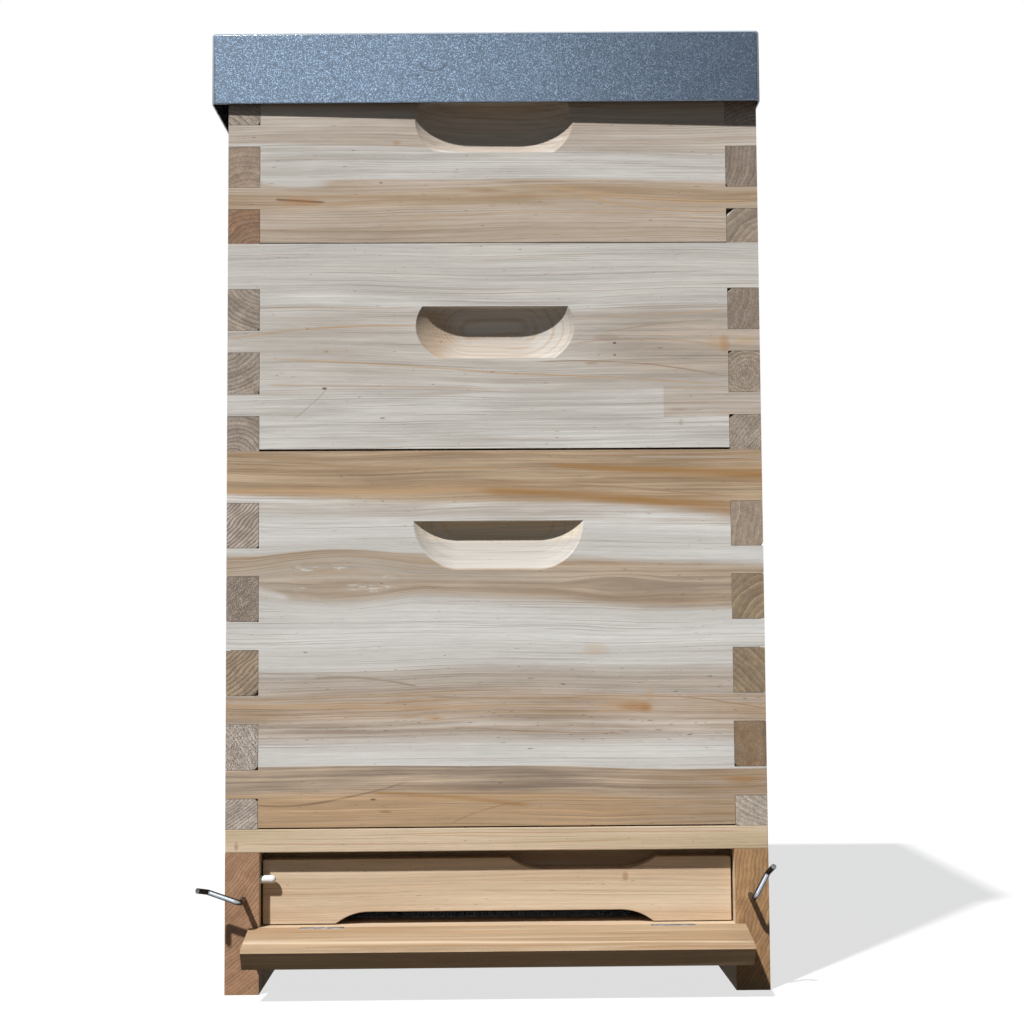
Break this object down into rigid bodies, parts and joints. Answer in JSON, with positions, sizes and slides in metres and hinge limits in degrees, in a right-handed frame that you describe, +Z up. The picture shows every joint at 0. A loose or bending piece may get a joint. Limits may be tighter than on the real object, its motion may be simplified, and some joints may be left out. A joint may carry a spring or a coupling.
{
  "type": "dadant beehive",
  "caption": "Dadant beehive with a floor, hinged landing board, brood box, stacked supers, hanging frames, crown board and telescoping metal roof.",
  "frame": {"origin": "centre of the whole plan outline, landing board included, on the ground under the runners", "axes": "+Z up the stack of boxes, -Y out of the entrance, +X to the right as seen from the front"},
  "size_m": [0.4671, 0.57, 0.785],
  "materials": {
    "box_wood": "bare planed paulownia, pale with brown streaks",
    "floor_pine": "bare planed pine, warm tan",
    "frame_wood": "bare planed lime",
    "plywood": "thin birch plywood",
    "beeswax": "embossed beeswax sheet",
    "roof_paint": "blue-grey grained paint on steel sheet",
    "zinc_steel": "zinc-plated steel",
    "bright_steel": "bright plated wire",
    "white_plastic": "white moulded plastic",
    "tray_sheet": "white rigid plastic sheet"
  },
  "bodies": {
    "floor": {"floor_left_runner": "floor_pine", "floor_right_runner": "floor_pine", "floor_front_bar": "floor_pine", "floor_rear_bar": "floor_pine", "floor_left_rail": "floor_pine", "floor_right_rail": "floor_pine", "entrance_lintel": "floor_pine", "entrance_sill": "floor_pine", "floor_rear_board": "floor_pine", "tray_guide_left": "floor_pine", "tray_guide_right": "floor_pine", "floor_rim_screws": "zinc_steel", "reducer_peg": "white_plastic", "mesh_screen": "zinc_steel", "hinge_fixed_leaves": "zinc_steel", "hinge_fixed_screws": "zinc_steel"},
    "landing_board": {"landing_board": "floor_pine", "hinge_moving_leaves": "zinc_steel", "hinge_moving_screws": "zinc_steel", "hinge_pins": "zinc_steel"},
    "left_hook": {"left_hook": "bright_steel"},
    "right_hook": {"right_hook": "bright_steel"},
    "entrance_reducer": {"entrance_reducer": "floor_pine"},
    "varroa_tray": {"varroa_tray": "tray_sheet", "tray_handle": "floor_pine"},
    "brood_box": {"brood_front_board": "box_wood", "brood_back_board": "box_wood", "brood_left_board": "box_wood", "brood_right_board": "box_wood", "brood_frame_rests": "zinc_steel"},
    "brood_frames": {"brood_frame_top_bars": "frame_wood", "brood_frame_end_bars": "frame_wood", "brood_frame_bottom_bars": "frame_wood", "brood_wax_foundations": "beeswax"},
    "lower_super": {"lower_super_front_board": "box_wood", "lower_super_back_board": "box_wood", "lower_super_left_board": "box_wood", "lower_super_right_board": "box_wood", "lower_super_frame_rests": "zinc_steel"},
    "lower_super_frames": {"lower_super_frame_top_bars": "frame_wood", "lower_super_frame_end_bars": "frame_wood", "lower_super_frame_bottom_bars": "frame_wood", "lower_super_wax_foundations": "beeswax"},
    "upper_super": {"upper_super_front_board": "box_wood", "upper_super_back_board": "box_wood", "upper_super_left_board": "box_wood", "upper_super_right_board": "box_wood", "upper_super_frame_rests": "zinc_steel"},
    "upper_super_frames": {"upper_super_frame_top_bars": "frame_wood", "upper_super_frame_end_bars": "frame_wood", "upper_super_frame_bottom_bars": "frame_wood", "upper_super_wax_foundations": "beeswax"},
    "crown_board": {"crown_board": "plywood"},
    "roof": {"roof": "roof_paint"}
  },
  "joints": [
    {"name": "landing_board_fold", "type": "hinge", "parent": "floor", "child": "landing_board", "pos_m": [0, -0.2316, 0.0508], "axis": [1, 0, 0], "range_deg": [-100, 0]},
    {"name": "left_hook_turn", "type": "hinge", "parent": "floor", "child": "left_hook", "pos_m": [-0.204, -0.2288, 0.0755], "axis": [0, -1, 0], "range_deg": [-160, 100]},
    {"name": "right_hook_turn", "type": "hinge", "parent": "floor", "child": "right_hook", "pos_m": [0.204, -0.2288, 0.0755], "axis": [0, 1, 0], "range_deg": [-118, 140]},
    {"name": "reducer_swing", "type": "hinge", "parent": "floor", "child": "entrance_reducer", "pos_m": [-0.19, -0.2168, 0.08], "axis": [0, 0, -1], "range_deg": [0, 11]},
    {"name": "tray_slide", "type": "slide", "parent": "floor", "child": "varroa_tray", "axis": [0, 1, 0], "range_m": [0, 0.38]},
    {"name": "brood_box_lift", "type": "slide", "parent": "floor", "child": "brood_box", "axis": [0, 0, 1], "range_m": [0, 0.25]},
    {"name": "brood_frames_lift", "type": "slide", "parent": "brood_box", "child": "brood_frames", "axis": [0, 0, 1], "range_m": [0, 0.32]},
    {"name": "lower_super_lift", "type": "slide", "parent": "brood_frames", "child": "lower_super", "axis": [0, 0, 1], "range_m": [0, 0.2]},
    {"name": "lower_super_frames_lift", "type": "slide", "parent": "lower_super", "child": "lower_super_frames", "axis": [0, 0, 1], "range_m": [0, 0.19]},
    {"name": "upper_super_lift", "type": "slide", "parent": "lower_super_frames", "child": "upper_super", "axis": [0, 0, 1], "range_m": [0, 0.2]},
    {"name": "upper_super_frames_lift", "type": "slide", "parent": "upper_super", "child": "upper_super_frames", "axis": [0, 0, 1], "range_m": [0, 0.19]},
    {"name": "crown_board_lift", "type": "slide", "parent": "upper_super_frames", "child": "crown_board", "axis": [0, 0, 1], "range_m": [0, 0.06]},
    {"name": "roof_lift", "type": "slide", "parent": "crown_board", "child": "roof", "axis": [0, 0, 1], "range_m": [0, 0.09]}
  ]
}
